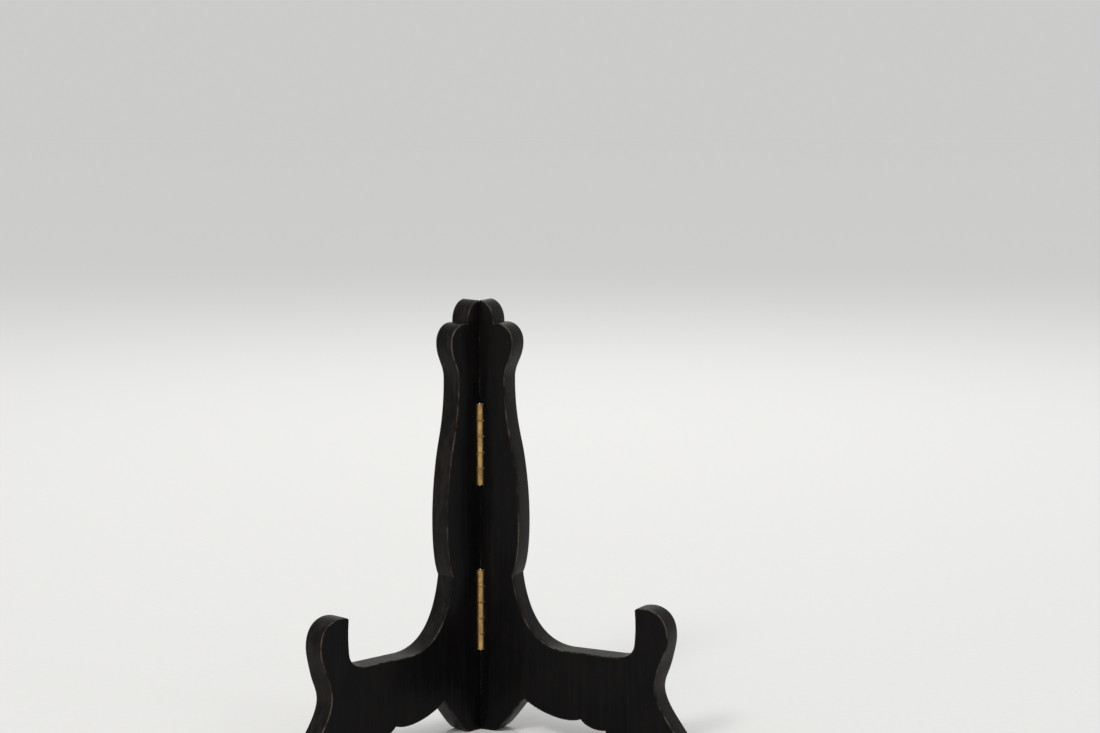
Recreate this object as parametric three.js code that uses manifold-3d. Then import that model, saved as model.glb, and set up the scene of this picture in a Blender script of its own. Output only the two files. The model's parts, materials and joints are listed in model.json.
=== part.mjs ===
// A folding stand that holds a large plate upright. Two mirrored lacquered boards are joined at the back by
// two brass butt hinges. Opened into a V, each board stands on a back foot and a front foot: its prong and
// seat hold the plate's rim, and its tall upright backs the plate. Folded, the boards lie face to face.
//
// Millimetres, +Z up. The V opens towards -Y. The origin is on the ground, under the middle of the stand.

import * as THREE from "three";
import { mergeVertices } from "three/addons/utils/BufferGeometryUtils.js";
import Module from "manifold-3d";

// Driving dimensions.
const BOARD_THICKNESS = 11;
const STAND_HEIGHT = 205;
const SEAT_HEIGHT = 43.1;
const TOE_REACH = 106; // from the hinge axis to the tip of the front foot, along the board
const HALF_OPENING = THREE.MathUtils.degToRad(53.5); // between each board and the middle plane
const AXIS_GAP = 0.05; // from the hinge axis to a board's inner face, and to its rear edge

const HINGE_LENGTH = 38;
const HINGE_FEET = { lower: 39, upper: 118 }; // height of each hinge's lower end
const LEAF_THICKNESS = 1;
const LEAF_WIDTH = 9.5; // from the hinge axis to the leaf's free edge
const LEAF_CORNER = 1;
const KNUCKLE_COUNT = 5;
const KNUCKLE_RADIUS = 2;
const KNUCKLE_GAP = 0.3; // between two knuckles, end to end
const BORE_RADIUS = 1.15;
const PIN_RADIUS = 1;
const PIN_DOME = 0.12;

const SCREWS_PER_LEAF = 3;
const SCREW_SPACING = 12;
const SCREW_OFFSET = 5.9; // from the hinge axis, across the leaf
const SCREW_LENGTH = 8;
const SCREW_HEAD_RADIUS = 1.85;
const SCREW_RIM = 0.1; // straight edge above the head's cone
const SCREW_SHANK_RADIUS = 1;
const SCREW_SUNK = 0.05; // head below the leaf's face
const SLOT_WIDTH = 0.5;
const SLOT_DEPTH = 0.45;
const SLOT_TURNS = [0.35, 1.9, 2.6, 1.2, 0.1, 2.2]; // radians: no two neighbouring slots line up

const FIT_GAP = 0.15; // left round a screw and behind a leaf
const HOUSING_END_GAP = 0.25; // above and below a leaf in its housing

// A leaf's mounting face is tangent to its knuckles.
const LEAF_BACK = KNUCKLE_RADIUS;
const LEAF_FACE = LEAF_BACK - LEAF_THICKNESS;
const HOUSING_FLOOR = LEAF_BACK + FIT_GAP;
const OVERCUT = 2;

const HINGE_FACETS = 24;
const SCREW_FACETS = 16;

// With the hinge axis this far behind the origin, the open stand is centred on it from toe to back.
const FRONT_REACH = TOE_REACH * Math.cos(HALF_OPENING) - AXIS_GAP * Math.sin(HALF_OPENING);
const BACK_REACH =
  (AXIS_GAP + BOARD_THICKNESS) * Math.sin(HALF_OPENING) - AXIS_GAP * Math.cos(HALF_OPENING);
const AXIS_Y = (FRONT_REACH - BACK_REACH) / 2;

const LACQUER = { color: 0x1d1b1c, roughness: 0.42, metalness: 0 };
const BRASS = { color: 0xa98746, roughness: 0.38, metalness: 1 };

const wasm = await Module();
wasm.setup();

// A closed three.js geometry as a solid that can be joined and cut.
function toSolid(geometry) {
  const bare = geometry.clone();
  bare.deleteAttribute("normal");
  bare.deleteAttribute("uv");
  const merged = mergeVertices(bare, 1e-4);
  return new wasm.Manifold(
    new wasm.Mesh({
      numProp: 3,
      vertProperties: new Float32Array(merged.attributes.position.array),
      triVerts: new Uint32Array(merged.index.array),
    }),
  );
}

function toGeometry(solid) {
  const mesh = solid.getMesh();
  const geometry = new THREE.BufferGeometry();
  geometry.setAttribute("position", new THREE.BufferAttribute(mesh.vertProperties, 3));
  geometry.setIndex(new THREE.BufferAttribute(mesh.triVerts, 1));
  geometry.computeVertexNormals();
  return geometry;
}

function makeMesh(name, geometry, finish) {
  const mesh = new THREE.Mesh(geometry, new THREE.MeshStandardMaterial(finish));
  mesh.name = name;
  return mesh;
}

// A box between two opposite corners.
function boxBetween(low, high) {
  const size = high.map((value, i) => value - low[i]);
  const middle = high.map((value, i) => (value + low[i]) / 2);
  return new THREE.BoxGeometry(...size).translate(...middle);
}

// Each board has its own frame: x forward along the board from the hinge axis, y up, z across the
// thickness. side is +1 on the right board, whose thickness runs towards -z, and -1 on the left one.
function boxOnBoard(side, [x0, x1], [y0, y1], [depth0, depth1]) {
  const z = [-side * depth0, -side * depth1].sort((a, b) => a - b);
  return boxBetween([x0, y0, z[0]], [x1, y1, z[1]]);
}

// The board's outline, as distance forward of the hinge axis and height.
function boardOutline() {
  const outline = new THREE.Shape();
  outline.moveTo(AXIS_GAP, 0);
  // Back foot: a short sole and a bowl-shaped front, up to a cusp.
  outline.lineTo(7, 0);
  outline.bezierCurveTo(11, 0.8, 15, 7.5, 23.3, 17.5);
  // Cloud-shaped underside of the arm: a long lobe and a short one.
  outline.bezierCurveTo(28, 13.6, 43.5, 7.4, 53.2, 11.2);
  outline.bezierCurveTo(55.5, 8.2, 61.5, 6.3, 66, 7.4);
  // Front foot: round heel, flat sole, round toe, and the flare up to the waist.
  outline.bezierCurveTo(67, 3.2, 70.5, 0, 76, 0);
  outline.lineTo(TOE_REACH - 3, 0);
  outline.quadraticCurveTo(TOE_REACH, 0, TOE_REACH, 3.2);
  outline.bezierCurveTo(TOE_REACH, 9, 91.7, 20, 91.7, 31);
  // Prong: a thumb-shaped back, a pointed tip, and a nearly straight inner side.
  outline.bezierCurveTo(91.7, 41, 97.9, 46, 97.9, 54.5);
  outline.bezierCurveTo(97.8, 67, 87.2, 69, 80.8, 66.4);
  outline.quadraticCurveTo(81.6, 58, 80.9, 51.5);
  // Seat: a fillet, then flat.
  outline.bezierCurveTo(80.9, 46, 77.5, SEAT_HEIGHT, 70.5, SEAT_HEIGHT);
  outline.lineTo(46, SEAT_HEIGHT);
  // Upright: a hollow sweep to a cusp, a long belly, and a neck.
  outline.bezierCurveTo(32, SEAT_HEIGHT, 21, 52, 17.5, 76);
  outline.bezierCurveTo(22.5, 86, 22, 118, 16.6, 140);
  outline.bezierCurveTo(14, 150.6, 13.2, 160, 13.3, 169);
  // Finial: a side lobe, a cusp, and a dome that meets the other board's at the hinge line.
  outline.bezierCurveTo(13.4, 175, 17.8, 178, 17.8, 185.5);
  outline.bezierCurveTo(17.8, 192, 12.5, 195.6, 7.6, 194.5);
  outline.bezierCurveTo(7.9, 200, 4.6, STAND_HEIGHT, AXIS_GAP, STAND_HEIGHT);
  outline.closePath();
  return outline;
}

// Heights of a hinge's screws.
function screwHeights(hingeFoot) {
  const middle = hingeFoot + HINGE_LENGTH / 2;
  return Array.from(
    { length: SCREWS_PER_LEAF },
    (_, i) => middle + (i - (SCREWS_PER_LEAF - 1) / 2) * SCREW_SPACING,
  );
}

// A round cutter along the board's x axis, centred on the line of the screws.
function alongScrew(side, y, x0, x1, startRadius, endRadius) {
  return new THREE.CylinderGeometry(endRadius, startRadius, x1 - x0, SCREW_FACETS)
    .rotateZ(-Math.PI / 2)
    .translate((x0 + x1) / 2, y, -side * SCREW_OFFSET);
}

// A board with a housing across its rear edge for each hinge, and a pilot hole for each screw.
function panel(side) {
  const plank = new THREE.ExtrudeGeometry(boardOutline(), {
    depth: BOARD_THICKNESS,
    bevelEnabled: false,
    curveSegments: 10,
  });
  plank.translate(0, 0, side > 0 ? -AXIS_GAP - BOARD_THICKNESS : AXIS_GAP);
  let wood = toSolid(plank);
  for (const foot of Object.values(HINGE_FEET)) {
    const housing = boxOnBoard(
      side,
      [-OVERCUT, HOUSING_FLOOR],
      [foot - HOUSING_END_GAP, foot + HINGE_LENGTH + HOUSING_END_GAP],
      [-OVERCUT, AXIS_GAP + BOARD_THICKNESS + OVERCUT],
    );
    wood = wood.subtract(toSolid(housing));
    for (const y of screwHeights(foot)) {
      const radius = SCREW_SHANK_RADIUS + FIT_GAP;
      const depth = LEAF_FACE + SCREW_SUNK + SCREW_LENGTH + FIT_GAP;
      wood = wood.subtract(toSolid(alongScrew(side, y, 0, depth, radius, radius)));
    }
  }
  return toGeometry(wood);
}

// Where knuckle number i of a hinge starts and ends, from the hinge's lower end.
function knuckleSpan(i) {
  const pitch = HINGE_LENGTH / KNUCKLE_COUNT;
  const start = i * pitch + (i > 0 ? KNUCKLE_GAP / 2 : 0);
  const end = (i + 1) * pitch - (i < KNUCKLE_COUNT - 1 ? KNUCKLE_GAP / 2 : 0);
  return [start, end];
}

// The leaf's flat part, with its two free corners rounded.
function leafPlate(side) {
  const shape = new THREE.Shape();
  const free = LEAF_WIDTH - LEAF_CORNER;
  shape.moveTo(0, 0);
  shape.lineTo(free, 0);
  shape.absarc(free, LEAF_CORNER, LEAF_CORNER, -Math.PI / 2, 0);
  shape.lineTo(LEAF_WIDTH, HINGE_LENGTH - LEAF_CORNER);
  shape.absarc(free, HINGE_LENGTH - LEAF_CORNER, LEAF_CORNER, 0, Math.PI / 2);
  shape.lineTo(0, HINGE_LENGTH);
  shape.closePath();
  return new THREE.ExtrudeGeometry(shape, {
    depth: LEAF_THICKNESS,
    bevelEnabled: false,
    curveSegments: 5,
  })
    .translate(0, 0, -LEAF_THICKNESS / 2)
    .rotateY((side * Math.PI) / 2)
    .translate((LEAF_FACE + LEAF_BACK) / 2, 0, 0);
}

// A hinge leaf, from its lower end: the left one rolls round the pin at the even knuckles, the right one
// at the odd ones, and each is cut clear of the other's.
function leaf(side) {
  const own = side > 0 ? 1 : 0;
  let brass = toSolid(leafPlate(side));
  for (let i = 0; i < KNUCKLE_COUNT; i += 1) {
    const [start, end] = knuckleSpan(i);
    if (i % 2 === own) {
      const knuckle = new THREE.CylinderGeometry(KNUCKLE_RADIUS, KNUCKLE_RADIUS, end - start, HINGE_FACETS);
      brass = brass.add(toSolid(knuckle.translate(0, (start + end) / 2, 0)));
    } else {
      const low = i === 0 ? -OVERCUT : start - KNUCKLE_GAP;
      const high = i === KNUCKLE_COUNT - 1 ? HINGE_LENGTH + OVERCUT : end + KNUCKLE_GAP;
      const relief = boxOnBoard(side, [0, LEAF_BACK + OVERCUT], [low, high], [-OVERCUT, 2.4]);
      brass = brass.subtract(toSolid(relief));
    }
  }
  const boreLength = HINGE_LENGTH + 2 * OVERCUT;
  const bore = new THREE.CylinderGeometry(BORE_RADIUS, BORE_RADIUS, boreLength, HINGE_FACETS);
  brass = brass.subtract(toSolid(bore.translate(0, HINGE_LENGTH / 2, 0)));
  // A 45-degree countersink right through the thin leaf, clear of the screw's cone all round.
  const sinkAtBack = SCREW_SHANK_RADIUS + FIT_GAP;
  for (const y of screwHeights(0)) {
    const sink = alongScrew(
      side,
      y,
      LEAF_FACE - FIT_GAP,
      LEAF_BACK + FIT_GAP,
      sinkAtBack + LEAF_THICKNESS + FIT_GAP,
      sinkAtBack - FIT_GAP,
    );
    brass = brass.subtract(toSolid(sink));
  }
  return toGeometry(brass);
}

// A hinge pin, from its lower end, riveted over into a shallow dome at both ends.
function pin() {
  const steps = 3;
  const profile = [];
  for (let i = 0; i <= steps; i += 1) {
    const angle = ((i / steps) * Math.PI) / 2;
    profile.push(new THREE.Vector2(PIN_RADIUS * Math.sin(angle), -PIN_DOME * Math.cos(angle)));
  }
  for (let i = 0; i <= steps; i += 1) {
    const angle = ((i / steps) * Math.PI) / 2;
    const radius = PIN_RADIUS * Math.cos(angle);
    profile.push(new THREE.Vector2(radius, HINGE_LENGTH + PIN_DOME * Math.sin(angle)));
  }
  profile[0].x = 0;
  profile[profile.length - 1].x = 0;
  return new THREE.LatheGeometry(profile, HINGE_FACETS);
}

// A slotted countersunk wood screw along +y, with the top of its head at y = 0.
function screw() {
  const headEnd = SCREW_RIM + SCREW_HEAD_RADIUS - SCREW_SHANK_RADIUS;
  const profile = [
    new THREE.Vector2(0, 0),
    new THREE.Vector2(SCREW_HEAD_RADIUS, 0),
    new THREE.Vector2(SCREW_HEAD_RADIUS, SCREW_RIM),
    new THREE.Vector2(SCREW_SHANK_RADIUS, headEnd),
    new THREE.Vector2(SCREW_SHANK_RADIUS, SCREW_LENGTH - 2),
    new THREE.Vector2(0, SCREW_LENGTH),
  ];
  const slot = boxBetween(
    [-SCREW_HEAD_RADIUS - 1, -1, -SLOT_WIDTH / 2],
    [SCREW_HEAD_RADIUS + 1, SLOT_DEPTH, SLOT_WIDTH / 2],
  );
  const blank = toSolid(new THREE.LatheGeometry(profile, SCREW_FACETS));
  return toGeometry(blank.subtract(toSolid(slot)));
}

const stand = new THREE.Group();
for (const [sideName, side] of [
  ["left", -1],
  ["right", 1],
]) {
  const board = new THREE.Group();
  board.position.set(0, AXIS_Y, 0);
  board.rotation.set(Math.PI / 2, 0, side * HALF_OPENING - Math.PI / 2, "ZYX");
  board.add(makeMesh(`${sideName}_panel`, panel(side), LACQUER));
  for (const [hingeName, foot] of Object.entries(HINGE_FEET)) {
    const brassLeaf = makeMesh(`${hingeName}_hinge_${sideName}_leaf`, leaf(side), BRASS);
    brassLeaf.position.set(0, foot, 0);
    board.add(brassLeaf);
    screwHeights(foot).forEach((y, i) => {
      const brassScrew = makeMesh(`${hingeName}_hinge_${sideName}_screw_${i + 1}`, screw(), BRASS);
      const turn = SLOT_TURNS[(i + (side > 0 ? 3 : 0)) % SLOT_TURNS.length];
      brassScrew.position.set(LEAF_FACE + SCREW_SUNK, y, -side * SCREW_OFFSET);
      brassScrew.rotation.set(turn, 0, -Math.PI / 2);
      board.add(brassScrew);
    });
  }
  stand.add(board);
}

for (const [hingeName, foot] of Object.entries(HINGE_FEET)) {
  const brassPin = makeMesh(`${hingeName}_hinge_pin`, pin(), BRASS);
  brassPin.position.set(0, AXIS_Y, foot);
  brassPin.rotation.set(Math.PI / 2, 0, 0);
  stand.add(brassPin);
}

export default stand;
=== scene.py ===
"""A folding display stand for a plate: two black-lacquered boards in a V, joined behind by brass hinges.

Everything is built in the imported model's frame, in metres with +Z up and the V opening towards -Y. Each
board and what is screwed to it is drawn in the board's own frame, in millimetres: s forward along the board
from the hinge axis, n outward from its inner face, z up.
"""

import json
import math

import bmesh
import bpy
import numpy as np
from mathutils import Matrix, Vector
from mathutils.geometry import delaunay_2d_cdt


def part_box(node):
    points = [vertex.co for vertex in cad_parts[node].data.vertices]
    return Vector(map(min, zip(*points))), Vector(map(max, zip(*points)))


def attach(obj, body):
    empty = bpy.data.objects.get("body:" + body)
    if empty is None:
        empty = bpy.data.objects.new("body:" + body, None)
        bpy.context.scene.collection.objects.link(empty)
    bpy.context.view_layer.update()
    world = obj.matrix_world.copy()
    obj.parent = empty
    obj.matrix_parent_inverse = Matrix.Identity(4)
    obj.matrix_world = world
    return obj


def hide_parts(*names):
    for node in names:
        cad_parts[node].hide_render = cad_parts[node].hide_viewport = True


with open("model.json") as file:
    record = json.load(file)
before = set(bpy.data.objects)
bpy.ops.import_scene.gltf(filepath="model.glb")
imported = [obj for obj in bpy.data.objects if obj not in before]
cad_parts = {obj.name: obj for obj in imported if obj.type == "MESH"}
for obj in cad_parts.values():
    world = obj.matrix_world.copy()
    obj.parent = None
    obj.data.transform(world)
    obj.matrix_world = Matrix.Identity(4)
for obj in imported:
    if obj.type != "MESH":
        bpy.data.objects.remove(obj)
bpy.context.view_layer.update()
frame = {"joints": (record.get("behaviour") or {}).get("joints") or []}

MM = 0.001
SIDES = {"left": -1, "right": 1}
HINGES = ("lower", "upper")

# ---------------------------------------------------------------- places, from the frame

pin_low, pin_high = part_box("lower_hinge_pin")
HINGE_AXIS = Vector(((pin_low.x + pin_high.x) / 2, (pin_low.y + pin_high.y) / 2, 0))
HALF_OPENING = math.radians(abs(frame["joints"][0]["range_deg"][0]) / 2)
STAND_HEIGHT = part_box("left_panel")[1].z / MM
HINGE_FEET = {h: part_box(f"{h}_hinge_left_leaf")[0].z / MM for h in HINGES}
leaf_low, leaf_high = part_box("lower_hinge_left_leaf")
HINGE_LENGTH = (leaf_high.z - leaf_low.z) / MM

# ---------------------------------------------------------------- the boards' dimensions, millimetres

OUTER_FACE = 11.05  # from the hinge axis to a board's outer face
SEAT_HEIGHT = 43.1
TOE_REACH = 106
AXIS_GAP = 0.0005  # from the hinge axis to a board's inner face, and to its rear edge
HOUSING_FLOOR = 2.15  # how far a hinge's housing is cut into the rear edge
HOUSING_END_GAP = 0.25  # above and below a leaf in its housing
OUTLINE_STEP = 0.7  # between points along the outline

CORNER_TURN = math.radians(20)  # where the outline turns by more than this, it has a corner
CONVEX_CORNER = 1.2  # radius of a fully eased corner
CONCAVE_CORNER = 0.35
LEAST_CONCAVE_SHARE = 0.5  # of that radius, however little the outline is eased there
CORNER_SEGMENTS = 4  # in each radius of length round a corner
LEAST_RADIUS = 0.2  # and no finer than a corner of this radius has
LEAST_KEPT = 0.4  # the least share of a stretch that a corner leaves
INNER_ARRIS = 0.7  # radius where a board's edge meets its inner face
OUTER_ARRIS = 0.85  # and its outer face
# How much of those radii each stretch of the outline has: at the inner arris, and at the outer one.
FULL_EASE = (1, 1)
REAR_EASE = (0.001, 0.5)  # along the rear edge, where the two boards meet
HOUSING_EASE = (0.15, 0.15)  # round the hinge housings
EASE_REACH = 1.2  # how far along the outline one share grows into the next

EDGE_CROWN = 0.07  # how far the hand-rasped edge is rounded across the thickness
# Below the prong the edge isn't square: it leans out towards the outer face.
LEAN = 1.45
LEAN_HEIGHT = 39.5
LEAN_REACH = 7  # how far up and down it fades
LEAN_START = 86  # only forward of here

ARRIS_RINGS = 6  # steps from a board's edge over its arris on to its face
EDGE_ROWS = 6  # rows across a board's edge, between its two arrises
# Rings of loose points on a face: how far in from the arris, and one at every how many outline points.
FACE_RINGS = ((0.3, 2), (0.8, 2), (1.7, 2), (3.2, 4))
RING_ROOM = 0.97  # a ring's points stay where they keep this share of their distance from the outline
FACE_STEP = 4.5  # between the loose points on the rest of a face

# The pale lines along the arrises are partly real wear and partly a painted highlight, standing in for the
# light the arrises catch.
WEAR_AND_HIGHLIGHT_REACH = 0.55  # how far the wear and painted highlight spread from the middle of an arris
EDGE_WEAR_AND_HIGHLIGHT = 0.4  # the least wear and painted highlight on an edge, as a share of its arrises'
STRAIGHT_WEAR_AND_HIGHLIGHT = 0.86  # how much wear and painted highlight an arris has where the outline is straight
BULGE_WEAR_AND_HIGHLIGHT = 2.2  # how much that grows with the outline's curvature
LEAST_WEAR_AND_HIGHLIGHT = 0.6  # and nowhere less than this
BULGE_REACH = 4.0  # the curvature is averaged over this distance

# ---------------------------------------------------------------- the hinges' dimensions, millimetres

LEAF_FACE = 1.0  # from the hinge axis to a leaf's visible face
LEAF_BACK = 2.0
LEAF_WIDTH = 9.5
LEAF_CORNER = 1.0
LEAF_START = 2.4  # where the leaf is cut back beside the other leaf's knuckles
KNUCKLE_COUNT = 5
KNUCKLE_RADIUS = 2.0
KNUCKLE_GAP = 0.3
BORE_RADIUS = 1.15
ROLL_START = math.acos(LEAF_FACE / BORE_RADIUS)  # where the bore leaves the leaf's face
ROLL_END = math.radians(-289)  # how far the knuckle is rolled, from the leaf's back
SINK_AT_BACK = 1.15  # radius of a leaf's countersink at its mounting face
CORNER_STEPS = 8
HOLE_FACETS = 40
ROLL_STEPS = 44
LEAF_EASE = 0.11  # rounding on a leaf's edges
SCREW_EASE = 0.05  # and on a screw's

PIN_RADIUS = 1.0
PIN_DOME = 0.12
DOME_STEPS = 8
PIN_ROWS = 12

SCREWS_PER_LEAF = 3
SCREW_SPACING = 12
SCREW_OFFSET = 5.9  # from the hinge axis, along n
SCREW_SUNK = 0.05  # below the leaf's face
SCREW_LENGTH = 8
SCREW_HEAD_RADIUS = 1.85
SCREW_RIM = 0.1
RIM_EASE = 0.04
SCREW_SHANK_RADIUS = 1.0
HEAD_RINGS = (0, 0.3, 0.6, 0.9)  # rings of points on the head's top, as shares of its radius
SLOT_WIDTH = 0.5
SLOT_DEPTH = 0.45
SAW_MARGIN = 1  # how far the saw passes the head
# How far each slot is turned from upright, in radians: up the left leaf, then up the right one.
SLOT_TURNS = (0.35, 1.9, 2.6, 1.2, 0.1, 2.2)
THREAD_START = 3.0
THREAD_PITCH = 0.9
THREAD_DEPTH = 0.22  # as a share of the shank's radius
THREAD_RIDGE = 0.5  # how much of the pitch its ridge takes up
THREAD_ROWS = 60
TIP_LENGTH = 2.2
TIP_RADIUS = 0.12  # as a share of the shank's
TURNED_FACETS = 48  # round a pin or a screw


def board_matrix(side):
    """From a board's own frame in millimetres to the model's frame in metres."""
    sine, cosine = math.sin(HALF_OPENING), math.cos(HALF_OPENING)
    columns = [
        (side * sine * MM, -cosine * MM, 0, 0),
        (side * cosine * MM, sine * MM, 0, 0),
        (0, 0, MM, 0),
        (*HINGE_AXIS, 1),
    ]
    return Matrix(columns).transposed()


# ---------------------------------------------------------------- meshes

SHARP_ANGLE = math.radians(35)  # an edge that turns by more than this is sharp, or is given a round
FLAT_ANGLE = math.radians(0.5)  # faces closer than this to one plane become one face


def turn_outward(mesh, join_flat=False):
    """Turns every face outward. With join_flat, faces that lie in one plane first become one."""
    work = bmesh.new()
    work.from_mesh(mesh)
    if join_flat:
        bmesh.ops.dissolve_limit(work, angle_limit=FLAT_ANGLE, verts=work.verts, edges=work.edges)
    bmesh.ops.recalc_face_normals(work, faces=work.faces)
    work.to_mesh(mesh)
    work.free()


def make_piece(name, points, faces, matrix, body, slot, material, wear_and_highlight=None):
    """A closed piece that rides on a body. Its points are given in a board's own frame.

    Its grain attribute keeps each point's place in that frame, and a second attribute keeps its wear and
    painted highlight.
    """
    mesh = bpy.data.meshes.new(name)
    mesh.from_pydata([tuple(p) for p in points], [], faces)
    grain = mesh.attributes.new("grain", "FLOAT_VECTOR", "POINT")
    grain.data.foreach_set("vector", np.asarray(points, np.float32).ravel())
    if wear_and_highlight is not None:
        layer = mesh.attributes.new("wear_and_highlight", "FLOAT", "POINT")
        layer.data.foreach_set("value", np.asarray(wear_and_highlight, np.float32))
    mesh.transform(matrix)
    turn_outward(mesh, join_flat=slot == "brass")
    mesh.polygons.foreach_set("use_smooth", [True] * len(mesh.polygons))
    mesh.set_sharp_from_angle(angle=SHARP_ANGLE)
    mesh.materials.append(material)
    piece = bpy.data.objects.new(name, mesh)
    bpy.context.scene.collection.objects.link(piece)
    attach(piece, body)
    return piece


def ease_edges(piece, width):
    """A small round on every sharp edge."""
    bevel = piece.modifiers.new("eased_edges", "BEVEL")
    bevel.width = width * MM
    bevel.segments = 2
    bevel.limit_method = "ANGLE"
    bevel.angle_limit = SHARP_ANGLE
    bevel.harden_normals = True
    bevel.use_clamp_overlap = True


# ---------------------------------------------------------------- curves and flat shapes

MERGE_DISTANCE = 1e-5  # points closer than this are one, in a triangulation
WHOLE_HULL = 0  # the kind of triangulation that fills the points' convex hull
TOO_NEAR = 1e-6  # to a polyline's new end for a point of its own


def bezier(controls, step=OUTLINE_STEP):
    """Points along a Bezier curve of any degree, evenly enough spaced."""
    controls = np.array(controls, float)
    degree = len(controls) - 1
    rough = np.linalg.norm(np.diff(controls, axis=0), axis=1).sum()
    t = np.linspace(0, 1, max(2, math.ceil(rough / step) + 1))[:, None]
    terms = [math.comb(degree, k) * t**k * (1 - t) ** (degree - k) * controls[k] for k in range(degree + 1)]
    return sum(terms)


def trimmed(points, length):
    """A polyline without its last part of that length, though never shorter than LEAST_KEPT of itself."""
    gaps = np.linalg.norm(np.diff(points, axis=0), axis=1)
    along = np.concatenate([[0], np.cumsum(gaps)])
    end = max(along[-1] - length, along[-1] * LEAST_KEPT)
    keep = points[along < end - TOO_NEAR]
    last = [np.interp(end, along, points[:, k]) for k in range(2)]
    return np.vstack([keep, last])


def cross(a, b):
    """The z part of the cross product of flat vectors."""
    return a[..., 0] * b[..., 1] - a[..., 1] * b[..., 0]


def unit(vector):
    return vector / np.linalg.norm(vector)


def outward_normals(points):
    """At each point of a closed counterclockwise polyline, weighted by how near its neighbours are."""
    ahead, behind = np.roll(points, -1, 0) - points, points - np.roll(points, 1, 0)
    ahead_gap = np.linalg.norm(ahead, axis=1, keepdims=True)
    behind_gap = np.linalg.norm(behind, axis=1, keepdims=True)
    tangent = ahead / ahead_gap * behind_gap + behind / behind_gap * ahead_gap
    tangent /= np.linalg.norm(tangent, axis=1, keepdims=True)
    return np.stack([tangent[:, 1], -tangent[:, 0]], axis=1)


def averaged(points, values, reach):
    """Each point's value averaged over its neighbours within reach, the nearer ones counting more."""
    gaps = np.linalg.norm(points[:, None] - points[None], axis=2)
    weight = np.maximum(0, 1 - gaps / reach)
    return weight @ values / weight.sum(1).reshape(-1, *[1] * (values.ndim - 1))


def distance_to(points, outline):
    """Each point's distance to the closed outline."""
    start, end = outline, np.roll(outline, -1, 0)
    along = end - start
    share = ((points[:, None] - start) * along).sum(2) / (along**2).sum(1)
    nearest = start + np.clip(share, 0, 1)[..., None] * along
    return np.linalg.norm(points[:, None] - nearest, axis=2).min(1)


def inside(points, outline):
    """Which points lie within the closed outline."""
    x, y = points[:, 0, None], points[:, 1, None]
    x0, y0 = outline.T
    x1, y1 = np.roll(outline, -1, 0).T
    crosses = (y0 > y) != (y1 > y)
    rise = np.where(y1 == y0, 1, y1 - y0)
    return (crosses & (x < (x1 - x0) * (y - y0) / rise + x0)).sum(1) % 2 == 1


def filled(border, holes=(), loose=()):
    """Triangles within a closed border and outside its holes.

    They are indices into the border, then the holes, then the loose points.
    """
    rings = [border, *holes]
    points = np.vstack([*rings, *loose])
    edges, start = [], 0
    for ring in rings:
        count = len(ring)
        edges += [(start + i, start + (i + 1) % count) for i in range(count)]
        start += count
    flat = [Vector(p) for p in points]
    _, _, triangles, origins, _, _ = delaunay_2d_cdt(flat, edges, [], WHOLE_HULL, MERGE_DISTANCE)
    faces = np.array([[origins[v][0] for v in triangle] for triangle in triangles])
    middles = points[faces].mean(1)
    kept = inside(middles, border)
    for hole in holes:
        kept &= ~inside(middles, hole)
    return faces[kept].tolist()


# ---------------------------------------------------------------- the boards' outline


def board_stretches():
    """The outline as (points, arris shares) stretches, counterclockwise from the back of the sole."""
    path = [
        # Back foot: a short sole and a bowl-shaped front, up to a cusp.
        (FULL_EASE, (7, 0)),
        (FULL_EASE, (11, 0.8), (15, 7.5), (23.3, 17.5)),
        # Cloud-shaped underside of the arm: a long lobe and a short one.
        (FULL_EASE, (28, 13.6), (43.5, 7.4), (53.2, 11.2)),
        (FULL_EASE, (55.5, 8.2), (61.5, 6.3), (66, 7.4)),
        # Front foot: round heel, flat sole, round toe, and the flare up to the waist.
        (FULL_EASE, (67, 3.2), (70.5, 0), (76, 0)),
        (FULL_EASE, (TOE_REACH - 3, 0)),
        (FULL_EASE, (TOE_REACH, 0), (TOE_REACH, 3.2)),
        (FULL_EASE, (TOE_REACH, 9), (91.7, 20), (91.7, 31)),
        # Prong: a thumb-shaped back, a pointed tip, and a nearly straight inner side.
        (FULL_EASE, (91.7, 41), (97.9, 46), (97.9, 54.5)),
        (FULL_EASE, (97.8, 67), (87.2, 69), (80.8, 66.4)),
        (FULL_EASE, (81.6, 58), (80.9, 51.5)),
        # Seat: a fillet, then flat.
        (FULL_EASE, (80.9, 46), (77.5, SEAT_HEIGHT), (70.5, SEAT_HEIGHT)),
        (FULL_EASE, (46, SEAT_HEIGHT)),
        # Upright: a hollow sweep to a cusp, a long belly, and a neck.
        (FULL_EASE, (32, SEAT_HEIGHT), (21, 52), (17.5, 76)),
        (FULL_EASE, (22.5, 86), (22, 118), (16.6, 140)),
        (FULL_EASE, (14, 150.6), (13.2, 160), (13.3, 169)),
        # Finial: a side lobe, a cusp, and a dome that meets the other board's at the hinge line.
        (FULL_EASE, (13.4, 175), (17.8, 178), (17.8, 185.5)),
        (FULL_EASE, (17.8, 192), (12.5, 195.6), (7.6, 194.5)),
        (FULL_EASE, (7.9, 200), (4.6, STAND_HEIGHT), (AXIS_GAP, STAND_HEIGHT)),
    ]
    # Rear edge, from the top down, with a housing for each hinge.
    for hinge in reversed(HINGES):
        top = HINGE_FEET[hinge] + HINGE_LENGTH + HOUSING_END_GAP
        foot = HINGE_FEET[hinge] - HOUSING_END_GAP
        path += [
            (REAR_EASE, (AXIS_GAP, top)),
            (HOUSING_EASE, (HOUSING_FLOOR, top)),
            (HOUSING_EASE, (HOUSING_FLOOR, foot)),
            (HOUSING_EASE, (AXIS_GAP, foot)),
        ]
    path.append((REAR_EASE, (AXIS_GAP, 0)))
    stretches, start = [], (AXIS_GAP, 0)
    for share, *controls in path:
        stretches.append((bezier([start, *controls]), share))
        start = controls[-1]
    return stretches


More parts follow.
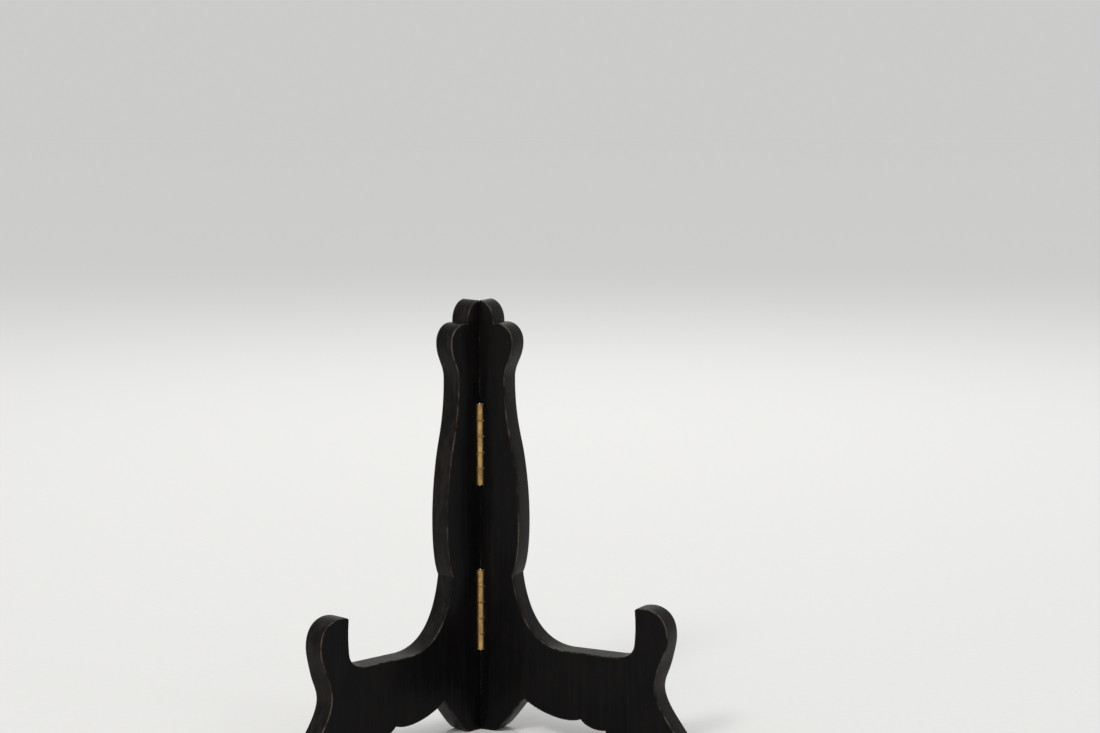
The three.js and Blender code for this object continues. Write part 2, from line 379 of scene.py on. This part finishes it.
def find_corners(lines, shares):
    """For each stretch that ends in a corner, how far the outline turns there and the corner's radius."""
    corners = {}
    for i, line in enumerate(lines):
        j = (i + 1) % len(lines)
        leave, enter = line[-1] - line[-2], lines[j][1] - lines[j][0]
        turn = math.atan2(cross(leave, enter), leave @ enter)
        if abs(turn) > CORNER_TURN:
            share = max(min(shares[i], shares[j]))
            radius = CONVEX_CORNER * share if turn > 0 else CONCAVE_CORNER * max(share, LEAST_CONCAVE_SHARE)
            corners[i] = (turn, radius)
    return corners


def corner_points(before, after, turn, radius):
    """Points round a corner, between the end of one polyline and the start of the next."""
    first, last = before[-1], after[0]
    leave, enter = unit(first - before[-2]), unit(after[1] - last)
    # With handles of this length, a Bezier curve is nearly an arc of a circle.
    reach = 4 / 3 * math.tan(abs(turn) / 4) * radius
    step = max(radius, LEAST_RADIUS) / CORNER_SEGMENTS
    return bezier([first, first + leave * reach, last - enter * reach, last], step)[1:-1]


def board_outline():
    """The closed outline, its corners rounded: points, outward normals, and each point's two arris shares."""
    stretches = board_stretches()
    lines = [points for points, _ in stretches]
    shares = [share for _, share in stretches]
    corners = find_corners(lines, shares)
    for i, (turn, radius) in corners.items():
        j = (i + 1) % len(lines)
        cut = radius * math.tan(abs(turn) / 2)
        lines[i] = trimmed(lines[i], cut)
        lines[j] = trimmed(lines[j][::-1], cut)[::-1]
    points, ease = [], []
    for i, line in enumerate(lines):
        j = (i + 1) % len(lines)
        own = line if i in corners else line[:-1]
        points += list(own)
        ease += [shares[i]] * len(own)
        if i in corners:
            rounded = corner_points(line, lines[j], *corners[i])
            points += list(rounded)
            ease += [min(shares[i], shares[j])] * len(rounded)
    points, ease = np.array(points), np.array(ease)
    # An arris tapers off before it reaches a stretch that is eased less.
    ease = np.minimum(ease, averaged(points, ease, EASE_REACH))
    return points, outward_normals(points), ease


# ---------------------------------------------------------------- the boards


def arris_wear_and_highlight(distance):
    """How much wear and painted highlight the wood has at a distance from the middle of an arris."""
    return np.exp(-((distance / WEAR_AND_HIGHLIGHT_REACH) ** 2))


def wear_and_highlight_strength(outline, ease):
    """How strong the wear and painted highlight on the arrises are: more where the outline bulges, less where
    they are hardly eased.
    """
    turning = cross(np.roll(outline, 1, 0) - outline, np.roll(outline, -1, 0) - outline)
    spread = np.linalg.norm(np.roll(outline, -2, 0) - np.roll(outline, 2, 0), axis=1)
    bulge = averaged(outline, -4 * turning / spread**2, BULGE_REACH)
    return np.clip(STRAIGHT_WEAR_AND_HIGHLIGHT + BULGE_WEAR_AND_HIGHLIGHT * bulge, LEAST_WEAR_AND_HIGHLIGHT, 1.0) * ease.mean(1)


def board_rings(outline, outward, ease, wear_and_highlight_weight):
    """Rings of points from the inner face's border, over the edge, to the outer face's border.

    Returns them with how much wear and painted highlight they have, and how far in from the outline each of
    the two borders is.
    """
    inner, outer = ease[:, 0] * INNER_ARRIS, ease[:, 1] * OUTER_ARRIS
    crown = EDGE_CROWN * ease[:, 0]
    lean = LEAN * np.exp(-(((outline[:, 1] - LEAN_HEIGHT) / LEAN_REACH) ** 2))
    lean *= outline[:, 0] > LEAN_START
    quarter = [math.pi / 2 * k / ARRIS_RINGS for k in range(ARRIS_RINGS + 1)]
    # Each ring is (how far in from the outline, n, how much wear and painted highlight).
    rings = []
    for angle in reversed(quarter):
        inset = crown + inner * (1 - math.cos(angle))
        n = AXIS_GAP + inner * (1 - math.sin(angle))
        rings.append((inset, n, arris_wear_and_highlight(inner * abs(angle - math.pi / 4))))
    low, high = AXIS_GAP + inner, OUTER_FACE - outer
    for row in range(1, EDGE_ROWS):
        share = row / EDGE_ROWS
        inset = crown * (2 * share - 1) ** 2 - lean * share
        n = low + (high - low) * share
        from_arris = np.minimum(n - low + inner * math.pi / 4, high - n + outer * math.pi / 4)
        rings.append((inset, n, np.maximum(EDGE_WEAR_AND_HIGHLIGHT, arris_wear_and_highlight(from_arris))))
    for angle in quarter:
        inset = crown - lean + outer * (1 - math.cos(angle))
        n = OUTER_FACE - outer * (1 - math.sin(angle))
        rings.append((inset, n, arris_wear_and_highlight(outer * abs(angle - math.pi / 4))))
    points, wear_and_highlight = [], []
    for inset, n, wear_and_highlight_share in rings:
        ring = outline - outward * inset[:, None]
        points.append(np.column_stack([ring[:, 0], n, ring[:, 1]]))
        wear_and_highlight.append(wear_and_highlight_weight * wear_and_highlight_share)
    return points, wear_and_highlight, inner + crown, outer + crown


def face_points(outline, outward, wear_and_highlight_weight, margin):
    """Loose points on a flat face, and each one's wear and painted highlight: rings beside the arris, then a
    staggered grid.
    """
    placed, wear_and_highlight_values = [], []
    for inset, every in FACE_RINGS:
        ring = (outline - outward * (margin + inset)[:, None])[::every]
        wear_and_highlight_share = (wear_and_highlight_weight * arris_wear_and_highlight(margin * math.pi / 4 + inset))[::every]
        clear = distance_to(ring, outline) > (margin.max() + inset) * RING_ROOM
        room = clear & inside(ring, outline)
        placed.append(ring[room])
        wear_and_highlight_values.append(wear_and_highlight_share[room])
    low, high = outline.min(0), outline.max(0)
    across, up = (np.arange(low[k] + FACE_STEP / 2, high[k], FACE_STEP) for k in range(2))
    grid = np.array([(s + (row % 2) * FACE_STEP / 2, z) for row, z in enumerate(up) for s in across])
    clear = distance_to(grid, outline) > margin.max() + FACE_RINGS[-1][0] + FACE_STEP / 2
    grid = grid[clear & inside(grid, outline)]
    placed.append(grid)
    wear_and_highlight_values.append(np.zeros(len(grid)))
    return np.vstack(placed), np.concatenate(wear_and_highlight_values)


def board_mesh():
    """One board in its own frame: points, faces and each point's wear and painted highlight."""
    outline, outward, ease = board_outline()
    count = len(outline)
    wear_and_highlight_weight = wear_and_highlight_strength(outline, ease)
    rings, wear_and_highlight, inner_margin, outer_margin = board_rings(outline, outward, ease, wear_and_highlight_weight)
    faces = []
    for row in range(len(rings) - 1):
        a, b = row * count, (row + 1) * count
        faces += [(a + i, a + (i + 1) % count, b + (i + 1) % count, b + i) for i in range(count)]
    points, wear_and_highlight = np.vstack(rings), np.concatenate(wear_and_highlight)
    # The two flat faces, with loose points near the arris for the wear and painted highlight to fade over.
    last_ring = (len(rings) - 1) * count
    for start, margin, n in ((0, inner_margin, AXIS_GAP), (last_ring, outer_margin, OUTER_FACE)):
        border = points[start : start + count][:, [0, 2]]
        loose, wear_and_highlight_values = face_points(outline, outward, wear_and_highlight_weight, margin)
        index = [*range(start, start + count), *range(len(points), len(points) + len(loose))]
        faces += [tuple(index[v] for v in face) for face in filled(border, loose=[loose])]
        points = np.vstack([points, np.column_stack([loose[:, 0], np.full(len(loose), n), loose[:, 1]])])
        wear_and_highlight = np.concatenate([wear_and_highlight, wear_and_highlight_values])
    return points, faces, wear_and_highlight


# ---------------------------------------------------------------- the hinges


def screw_heights(hinge_foot):
    """How high a leaf's screws are, from the lowest up."""
    middle = hinge_foot + HINGE_LENGTH / 2
    return [middle + (i - (SCREWS_PER_LEAF - 1) / 2) * SCREW_SPACING for i in range(SCREWS_PER_LEAF)]


def knuckle_span(i):
    """Where knuckle number i starts and ends, from the hinge's lower end."""
    pitch = HINGE_LENGTH / KNUCKLE_COUNT
    start = i * pitch + (KNUCKLE_GAP / 2 if i > 0 else 0)
    end = (i + 1) * pitch - (KNUCKLE_GAP / 2 if i < KNUCKLE_COUNT - 1 else 0)
    return start, end


def leaf_border(own, tab_edge):
    """A leaf's flat outline as (n, z), with a tab out to tab_edge at each of its own knuckles.

    The left leaf owns knuckles 0, 2 and 4, and the right one 1 and 3. own is the first of them.
    """
    border = []
    # Down the knuckle side.
    for i in reversed(range(own, KNUCKLE_COUNT, 2)):
        start, end = knuckle_span(i)
        border += [(LEAF_START, end), (tab_edge, end), (tab_edge, start), (LEAF_START, start)]
    if own == 0:
        border = border[1:-1]
    else:
        border.append((LEAF_START, 0))
    # Round the two corners of the free side.
    for middle, first in ((LEAF_CORNER, -math.pi / 2), (HINGE_LENGTH - LEAF_CORNER, 0)):
        for k in range(CORNER_STEPS + 1):
            angle = first + math.pi / 2 * k / CORNER_STEPS
            n = LEAF_WIDTH - LEAF_CORNER + LEAF_CORNER * math.cos(angle)
            border.append((n, middle + LEAF_CORNER * math.sin(angle)))
    if own == 1:
        border.append((LEAF_START, HINGE_LENGTH))
    return np.array(border)


def leaf_plate(own):
    """A leaf's flat plate with countersunk holes, open where its knuckles go on.

    Returns its points, its faces, and the four corners of each opening: back top, back foot, front top and
    front foot.
    """
    turns = np.linspace(0, 2 * math.pi, HOLE_FACETS, endpoint=False)
    rim = np.array([(math.cos(turn), math.sin(turn)) for turn in turns])
    centres = [(SCREW_OFFSET, z) for z in screw_heights(0)]
    sink_at_face = SINK_AT_BACK + LEAF_BACK - LEAF_FACE
    front = [leaf_border(own, BORE_RADIUS * math.sin(ROLL_START))]
    front += [centre + sink_at_face * rim for centre in centres]
    back = [leaf_border(own, 0)]
    back += [centre + SINK_AT_BACK * rim for centre in centres]
    points, faces, openings = [], [], []
    front_index, back_index = [], []
    # A wall joins each ring on the front to the same ring on the back.
    for front_ring, back_ring in zip(front, back):
        count, first = len(front_ring), len(points)
        second = first + count
        points += [(LEAF_FACE, n, z) for n, z in front_ring]
        points += [(LEAF_BACK, n, z) for n, z in back_ring]
        front_index += range(first, second)
        back_index += range(second, second + count)
        for i in range(count):
            j = (i + 1) % count
            if back_ring[i][0] == 0 and back_ring[j][0] == 0:
                openings.append((second + i, second + j, first + i, first + j))
            else:
                faces.append((first + i, first + j, second + j, second + i))
    for rings, index in ((front, front_index), (back, back_index)):
        border, *holes = rings
        faces += [tuple(index[v] for v in face) for face in filled(border, holes)]
    return points, faces, openings


def leaf_mesh(own):
    """A hinge leaf from its lower end, in the board's frame: a plate whose tabs are rolled round the pin."""
    points, faces, openings = leaf_plate(own)
    outer_angles = np.linspace(0, ROLL_END, ROLL_STEPS + 1)[1:]
    inner_angles = np.linspace(ROLL_START, ROLL_END, ROLL_STEPS + 1)[1:]
    for corners in openings:
        top, foot = points[corners[0]][2], points[corners[1]][2]
        for outer, inner in zip(outer_angles, inner_angles):
            start = len(points)
            for angle, radius in ((outer, KNUCKLE_RADIUS), (inner, BORE_RADIUS)):
                s, n = radius * math.cos(angle), radius * math.sin(angle)
                points += [(s, n, top), (s, n, foot)]
            now = (start, start + 1, start + 2, start + 3)
            for a, b in ((0, 1), (2, 3), (0, 2), (1, 3)):
                faces.append((corners[a], corners[b], now[b], now[a]))
            corners = now
        faces.append((corners[0], corners[1], corners[3], corners[2]))
    return points, faces


def lathe(profile):
    """A closed solid turned round z from (radius, z) points that start and end on the axis."""
    turns = np.linspace(0, 2 * math.pi, TURNED_FACETS, endpoint=False)
    points = [(0, 0, profile[0][1])]
    faces = []
    for radius, z in profile[1:-1]:
        points += [(radius * math.cos(a), radius * math.sin(a), z) for a in turns]
    points.append((0, 0, profile[-1][1]))
    last = len(points) - 1
    last_row = last - TURNED_FACETS
    for k in range(TURNED_FACETS):
        m = (k + 1) % TURNED_FACETS
        faces.append((0, 1 + m, 1 + k))
        for a in range(1, last_row, TURNED_FACETS):
            b = a + TURNED_FACETS
            faces.append((a + k, a + m, b + m, b + k))
        faces.append((last, last_row + k, last_row + m))
    return points, faces


def pin_mesh():
    """A pin from the hinge's lower end, its ends peened into shallow domes."""
    quarter = [math.pi / 2 * k / DOME_STEPS for k in range(DOME_STEPS + 1)]
    profile = [(PIN_RADIUS * math.sin(a), -PIN_DOME * math.cos(a)) for a in quarter]
    profile += [(PIN_RADIUS, HINGE_LENGTH * k / PIN_ROWS) for k in range(1, PIN_ROWS)]
    profile += [(PIN_RADIUS * math.cos(a), HINGE_LENGTH + PIN_DOME * math.sin(a)) for a in quarter]
    return lathe(profile)


def threaded(x, y, z):
    """A point on the blank shank, moved in to the thread's form and the tapered tip."""
    depth = z - THREAD_START
    if depth <= 0:
        return x, y, z
    turn = math.atan2(y, x) / (2 * math.pi)
    phase = (depth / THREAD_PITCH - turn) % 1
    ridge = max(0, 1 - abs(phase - 0.5) * 2 / THREAD_RIDGE)
    fade = min(1, depth / THREAD_PITCH)
    taper = min(1, (SCREW_LENGTH - z) / TIP_LENGTH)
    scale = (1 - fade * THREAD_DEPTH * (1 - ridge)) * (TIP_RADIUS + (1 - TIP_RADIUS) * taper)
    return x * scale, y * scale, z


def screw_mesh():
    """A countersunk wood screw along +z, the top of its head at z = 0."""
    head_end = SCREW_RIM + SCREW_HEAD_RADIUS - SCREW_SHANK_RADIUS
    profile = [(SCREW_HEAD_RADIUS * share, 0) for share in HEAD_RINGS]
    profile += [
        (SCREW_HEAD_RADIUS - RIM_EASE, 0),
        (SCREW_HEAD_RADIUS, RIM_EASE),
        (SCREW_HEAD_RADIUS, SCREW_RIM),
        (SCREW_SHANK_RADIUS + 2 * RIM_EASE, head_end - 2 * RIM_EASE),
        (SCREW_SHANK_RADIUS, head_end + 2.5 * RIM_EASE),
    ]
    rise = (SCREW_LENGTH - THREAD_START) / THREAD_ROWS
    profile += [(SCREW_SHANK_RADIUS, THREAD_START + rise * k) for k in range(THREAD_ROWS)]
    profile.append((0, SCREW_LENGTH))
    points, faces = lathe(profile)
    return [threaded(*p) for p in points], faces


def solid_object(name, points, faces):
    mesh = bpy.data.meshes.new(name)
    mesh.from_pydata(points, [], faces)
    turn_outward(mesh)
    made = bpy.data.objects.new(name, mesh)
    bpy.context.scene.collection.objects.link(made)
    return made


def slotted(points, faces):
    """The same solid with a slot sawn across its top, along x."""
    reach, half = SCREW_HEAD_RADIUS + SAW_MARGIN, SLOT_WIDTH / 2
    corners = [(x, y, z) for x in (-reach, reach) for y in (-half, half) for z in (-SAW_MARGIN, SLOT_DEPTH)]
    sides = [(0, 1, 3, 2), (4, 6, 7, 5), (0, 4, 5, 1), (2, 3, 7, 6), (0, 2, 6, 4), (1, 5, 7, 3)]
    blank = solid_object("screw_blank", points, faces)
    saw = solid_object("screw_slot", corners, sides)
    cut = blank.modifiers.new("slot", "BOOLEAN")
    cut.object = saw
    cut.operation = "DIFFERENCE"
    cut.solver = "EXACT"
    graph = bpy.context.evaluated_depsgraph_get()
    result = bpy.data.meshes.new_from_object(blank.evaluated_get(graph))
    cut_points = [tuple(v.co) for v in result.vertices]
    cut_faces = [tuple(p.vertices) for p in result.polygons]
    bpy.data.objects.remove(blank)
    bpy.data.objects.remove(saw)
    return cut_points, cut_faces


# ---------------------------------------------------------------- materials

DEEP_BLACK = (0.0024, 0.0022, 0.0026, 1)
BROWN_BLACK = (0.0075, 0.0058, 0.0048, 1)
FADED_BLACK = (0.0052, 0.0043, 0.0038, 1)
PORE_BLACK = (0.0018, 0.0016, 0.0017, 1)
# Brown and pale tan for the arrises: partly lacquer worn thin and bare wood, partly a painted highlight.
THIN_LACQUER_AND_HIGHLIGHT = (0.036, 0.0275, 0.0195, 1)
BARE_WOOD_AND_HIGHLIGHT = (0.115, 0.092, 0.068, 1)
CHIPPED_WOOD = (0.05, 0.034, 0.022, 1)
YELLOW_BRASS = (0.52, 0.335, 0.12, 1)
TARNISHED_BRASS = (0.30, 0.185, 0.075, 1)
SPOTTED_BRASS = (0.13, 0.075, 0.035, 1)
HANDLED_BRASS = (0.60, 0.41, 0.17, 1)
PAPER_DARK = (0.66, 0.66, 0.655, 1)
PAPER_LIGHT = (0.70, 0.70, 0.695, 1)


class Nodes:
    """Short ways to add and join shader nodes."""

    def __init__(self, name):
        self.material = bpy.data.materials.new(name)
        self.material.use_nodes = True
        self.tree = self.material.node_tree
        self.shader = self.tree.nodes["Principled BSDF"]

    def add(self, kind, inputs=None, **settings):
        node = self.tree.nodes.new(kind)
        for key, value in settings.items():
            setattr(node, key, value)
        for key, value in (inputs or {}).items():
            self.feed(node.inputs[key], value)
        return node

    def feed(self, socket, value):
        if isinstance(value, bpy.types.NodeSocket):
            self.tree.links.new(value, socket)
        else:
            socket.default_value = value

    def attribute(self, name):
        return self.add("ShaderNodeAttribute", attribute_name=name)

    def scaled(self, vector, scale, offset=(0, 0, 0)):
        node = self.add("ShaderNodeMapping", {"Vector": vector, "Scale": scale, "Location": offset})
        return node.outputs["Vector"]

    def noise(self, vector, scale, detail=4.0, roughness=0.55, distortion=0.0):
        node = self.add("ShaderNodeTexNoise", {
            "Vector": vector,
            "Scale": scale,
            "Detail": detail,
            "Roughness": roughness,
            "Distortion": distortion,
        })
        return node.outputs["Fac"]

    def span(self, value, low, high, to_low=0.0, to_high=1.0):
        """value from low..high to to_low..to_high, smoothly and without running past."""
        node = self.add("ShaderNodeMapRange", {
            "Value": value,
            "From Min": low,
            "From Max": high,
            "To Min": to_low,
            "To Max": to_high,
        }, interpolation_type="SMOOTHSTEP")
        return node.outputs["Result"]

    def times(self, a, b):
        return self.add("ShaderNodeMath", {0: a, 1: b}, operation="MULTIPLY").outputs["Value"]

    def plus(self, a, b):
        return self.add("ShaderNodeMath", {0: a, 1: b}, operation="ADD").outputs["Value"]

    def mix(self, share, a, b):
        """Colour a where share is 0, and b where it is 1."""
        node = self.add("ShaderNodeMix", data_type="RGBA")
        # The node has an A, a B and a Result for each type of data, so a colour's go by number.
        for socket, value in zip((node.inputs[0], node.inputs[6], node.inputs[7]), (share, a, b)):
            self.feed(socket, value)
        return node.outputs[2]

    def bump(self, height, strength, distance, normal=None):
        inputs = {"Height": height, "Strength": strength, "Distance": distance}
        if normal is not None:
            inputs["Normal"] = normal
        return self.add("ShaderNodeBump", inputs).outputs["Normal"]

    def set(self, **values):
        for key, value in values.items():
            self.feed(self.shader.inputs[key.replace("_", " ")], value)


def lacquer(name, seed):
    """Thin black lacquer over brown hardwood: the grain shows through, and the arrises show wear, their pale
    lines partly a painted highlight.
    """
    m = Nodes(name)
    grain = m.attribute("grain").outputs["Vector"]
    wear_and_highlight_values = m.attribute("wear_and_highlight").outputs["Fac"]
    # The grain runs upright, so its noises are drawn out along z.
    long_grain = m.scaled(grain, (1, 1, 0.045), seed)
    figure = m.noise(long_grain, 0.55, detail=5, distortion=0.6)
    fine = m.noise(long_grain, 3.2, detail=6, roughness=0.7)
    pores = m.noise(m.scaled(grain, (1, 1, 0.12), seed), 4.2, detail=2, roughness=0.5)
    patches = m.noise(m.scaled(grain, (1, 1, 1), seed), 0.045, detail=3)
    smears = m.noise(m.scaled(grain, (1, 1, 0.35), seed), 0.22, detail=5, roughness=0.65)
    specks = m.noise(m.scaled(grain, (1, 1, 0.6), seed), 2.1, detail=3, roughness=0.6)
    wave = m.noise(m.scaled(grain, (1, 1, 0.4), seed), 0.12, detail=2)

    streak = m.times(m.span(figure, 0.42, 0.72), m.span(fine, 0.35, 0.7, 0.4, 1.0))
    base = m.mix(streak, DEEP_BLACK, BROWN_BLACK)
    base = m.mix(m.span(patches, 0.4, 0.65, 0, 0.5), base, FADED_BLACK)
    pore = m.span(pores, 0.66, 0.74)
    base = m.mix(m.times(pore, 0.6), base, PORE_BLACK)
    # Lacquer thins on the arrises, to brown, and wears through in places, to bare wood; these pale lines also
    # serve as a painted highlight along the arrises.
    thinned_and_highlighted = m.times(wear_and_highlight_values, m.span(smears, 0.36, 0.6, 0.3, 1.0))
    base = m.mix(m.span(thinned_and_highlighted, 0.12, 0.8, 0, 0.8), base, THIN_LACQUER_AND_HIGHLIGHT)
    bare_and_highlighted = m.span(m.plus(thinned_and_highlighted, m.times(specks, 0.55)), 0.86, 1.16)
    base = m.mix(m.times(bare_and_highlighted, 0.6), base, BARE_WOOD_AND_HIGHLIGHT)
    # Small chips anywhere.
    chips = m.span(specks, 0.715, 0.735)
    base = m.mix(m.times(chips, 0.6), base, CHIPPED_WOOD)

    rough = m.span(smears, 0.3, 0.7, 0.26, 0.44)
    rough = m.plus(rough, m.times(bare_and_highlighted, 0.22))
    rough = m.plus(rough, m.times(pore, 0.12))
    normal = m.bump(wave, 0.25, 0.00045)
    normal = m.bump(fine, 0.22, 0.00006, normal)
    normal = m.bump(m.times(pore, -1), 0.35, 0.00005, normal)
    m.set(Base_Color=base, Roughness=rough, Normal=normal, Specular_IOR_Level=0.045)
    m.set(Coat_Weight=0.07, Coat_Roughness=0.16, Coat_IOR=1.5)
    return m.material


def brass(name, base_rough, brushed):
    """Old brass: unevenly tarnished, with brown spots, handled places, and fine scratches one way."""
    m = Nodes(name)
    grain = m.attribute("grain").outputs["Vector"]
    tarnish = m.noise(grain, 0.32, detail=6, roughness=0.62, distortion=0.4)
    spots = m.noise(grain, 1.7, detail=4, roughness=0.6)
    scratches = m.noise(m.scaled(grain, brushed), 5.5, detail=5, roughness=0.7)
    smudges = m.noise(grain, 0.11, detail=3, roughness=0.5)

    base = m.mix(m.span(tarnish, 0.35, 0.68), YELLOW_BRASS, TARNISHED_BRASS)
    base = m.mix(m.times(m.span(spots, 0.6, 0.74), 0.7), base, SPOTTED_BRASS)
    base = m.mix(m.span(smudges, 0.5, 0.66, 0, 0.6), base, HANDLED_BRASS)
    rough = m.span(tarnish, 0.3, 0.7, base_rough, base_rough + 0.2)
    rough = m.plus(rough, m.times(scratches, 0.1))
    normal = m.bump(scratches, 0.25, 0.00003)
    normal = m.bump(spots, 0.2, 0.00006, normal)
    m.set(Base_Color=base, Roughness=rough, Normal=normal, Metallic=1.0)
    return m.material


def floor_paper():
    """Pale matt paper."""
    m = Nodes("floor_paper")
    place = m.add("ShaderNodeTexCoord").outputs["Object"]
    fibre = m.noise(place, 260, detail=5)
    normal = m.bump(fibre, 0.05, 0.0002)
    m.set(Base_Color=m.mix(fibre, PAPER_DARK, PAPER_LIGHT), Normal=normal)
    m.set(Roughness=0.85, Specular_IOR_Level=0.2)
    return m.material


# ---------------------------------------------------------------- building the stand


def raised(points, foot):
    """The same points, raised from a hinge's own lower end to where the hinge stands."""
    return [(s, n, z + foot) for s, n, z in points]


def screwed_in(side, z, turn):
    """A screw's points in a board's own frame: driven forward, with its slot turned from upright."""
    forward = np.array([1, 0, 0])
    along = np.array([0, -side * math.sin(turn), math.cos(turn)])
    third = np.cross(forward, along)
    head = np.array([LEAF_FACE + SCREW_SUNK, SCREW_OFFSET, z])
    return [head + x * along + y * third + w * forward for x, y, w in screw_points]


def add_board(side_name, side):
    name, body, matrix = f"{side_name}_board", f"{side_name}_half", board_matrix(side)
    finish = lacquers[side_name]
    board = make_piece(name, panel_points, panel_faces, matrix, body, "lacquered_wood", finish, panel_wear_and_highlight)
    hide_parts(f"{side_name}_panel")


def add_leaf(hinge, side_name, side):
    name, body, matrix = f"{hinge}_{side_name}_leaf", f"{side_name}_half", board_matrix(side)
    points, faces = leaf_mesh(0 if side < 0 else 1)
    leaf = make_piece(name, raised(points, HINGE_FEET[hinge]), faces, matrix, body, "brass", leaf_brass)
    ease_edges(leaf, LEAF_EASE)
    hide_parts(f"{hinge}_hinge_{side_name}_leaf")


def add_screws(hinge, side_name, side):
    body, matrix = f"{side_name}_half", board_matrix(side)
    for i, z in enumerate(screw_heights(HINGE_FEET[hinge])):
        name = f"{hinge}_{side_name}_screw_{i + 1}"
        turn = SLOT_TURNS[i if side < 0 else i + SCREWS_PER_LEAF]
        screw = make_piece(name, screwed_in(side, z, turn), screw_faces, matrix, body, "brass", screw_brass)
        ease_edges(screw, SCREW_EASE)
        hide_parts(f"{hinge}_hinge_{side_name}_screw_{i + 1}")


def add_pin(hinge):
    points, matrix = raised(pin_points, HINGE_FEET[hinge]), board_matrix(SIDES["left"])
    pin = make_piece(f"{hinge}_pin", points, pin_faces, matrix, "left_half", "brass", pin_brass)
    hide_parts(f"{hinge}_hinge_pin")


lacquers = {
    "left": lacquer("black_lacquer_left", (11.0, 3.0, 0.7)),
    "right": lacquer("black_lacquer_right", (47.0, 21.0, 2.3)),
}
leaf_brass = brass("brass_leaf", 0.24, (1, 1, 0.06))
pin_brass = brass("brass_pin", 0.3, (0.3, 0.3, 1))
screw_brass = brass("brass_screw", 0.28, (1, 0.2, 1))

panel_points, panel_faces, panel_wear_and_highlight = board_mesh()
screw_points, screw_faces = slotted(*screw_mesh())
pin_points, pin_faces = pin_mesh()

for side_name, side in SIDES.items():
    add_board(side_name, side)
    for hinge in HINGES:
        add_leaf(hinge, side_name, side)
        add_screws(hinge, side_name, side)

for hinge in HINGES:
    add_pin(hinge)

# ---------------------------------------------------------------- floor, light and camera, metres

FLOOR_RADIUS = 9.0
FLOOR_FACETS = 128
BACKGROUND = (0.60, 0.60, 0.595, 1)
LIGHT_TARGET = Vector((0, 0, 0.1))  # the middle of the stand

CAMERA_AZIMUTH = math.radians(-8.4)
CAMERA_ELEVATION = math.radians(7.0)
CAMERA_DISTANCE = 1.168
CAMERA_ASIDE = 0.0329  # the middle of the picture is this far right of the hinge line
CAMERA_AIM_HEIGHT = 0.1738
LENS_MM = 81.8
SENSOR_MM = 36
NEAREST_SEEN = 0.05
FARTHEST_SEEN = 60


def add_floor():
    mesh = bpy.data.meshes.new("floor")
    shape = bmesh.new()
    bmesh.ops.create_circle(shape, cap_ends=True, radius=FLOOR_RADIUS, segments=FLOOR_FACETS)
    shape.to_mesh(mesh)
    shape.free()
    mesh.materials.append(floor_paper())
    floor = bpy.data.objects.new("floor", mesh)
    bpy.context.scene.collection.objects.link(floor)


def add_background():
    world = bpy.data.worlds.new("studio")
    world.use_nodes = True
    world.node_tree.nodes["Background"].inputs["Color"].default_value = BACKGROUND
    bpy.context.scene.world = world
    bpy.context.scene.view_settings.view_transform = "Standard"


def add_light(name, kind, place, colour, energy, **settings):
    """A light at place that faces the middle of the stand."""
    data = bpy.data.lights.new(name, kind)
    data.color = colour
    data.energy = energy
    for key, value in settings.items():
        setattr(data, key, value)
    light = bpy.data.objects.new(name, data)
    light.location = place
    light.rotation_mode = "QUATERNION"
    light.rotation_quaternion = (LIGHT_TARGET - Vector(place)).to_track_quat("-Z", "Y")
    bpy.context.scene.collection.objects.link(light)


def add_camera():
    """A camera in front of the stand and a little to its left, with room in the picture for a plate."""
    data = bpy.data.cameras.new("camera")
    data.sensor_width = SENSOR_MM
    data.lens = LENS_MM
    data.clip_start = NEAREST_SEEN
    data.clip_end = FARTHEST_SEEN
    camera = bpy.data.objects.new("camera", data)
    sideways = Vector((math.cos(CAMERA_AZIMUTH), math.sin(CAMERA_AZIMUTH), 0))
    backwards = Vector((
        math.sin(CAMERA_AZIMUTH) * math.cos(CAMERA_ELEVATION),
        -math.cos(CAMERA_AZIMUTH) * math.cos(CAMERA_ELEVATION),
        math.sin(CAMERA_ELEVATION),
    ))
    aim = HINGE_AXIS + sideways * CAMERA_ASIDE + Vector((0, 0, CAMERA_AIM_HEIGHT))
    camera.location = aim + backwards * CAMERA_DISTANCE
    camera.rotation_mode = "QUATERNION"
    camera.rotation_quaternion = (-backwards).to_track_quat("-Z", "Y")
    bpy.context.scene.collection.objects.link(camera)
    bpy.context.scene.camera = camera


add_floor()
add_background()
add_light("even", "SUN", (-0.7, -1.1, 2.2), (1.0, 1.0, 0.99), 1.04, angle=math.radians(40))
add_light("key", "AREA", (-0.9, -1.2, 1.5), (1.0, 0.97, 0.92), 10, shape="DISK", size=0.4)
add_light("side", "AREA", (1.5, -0.9, 0.9), (0.95, 0.97, 1.0), 1.6, shape="DISK", size=0.45)
add_light("back", "AREA", (0.3, 1.4, 1.4), (1.0, 0.98, 0.95), 9, shape="DISK", size=0.6)
add_camera()
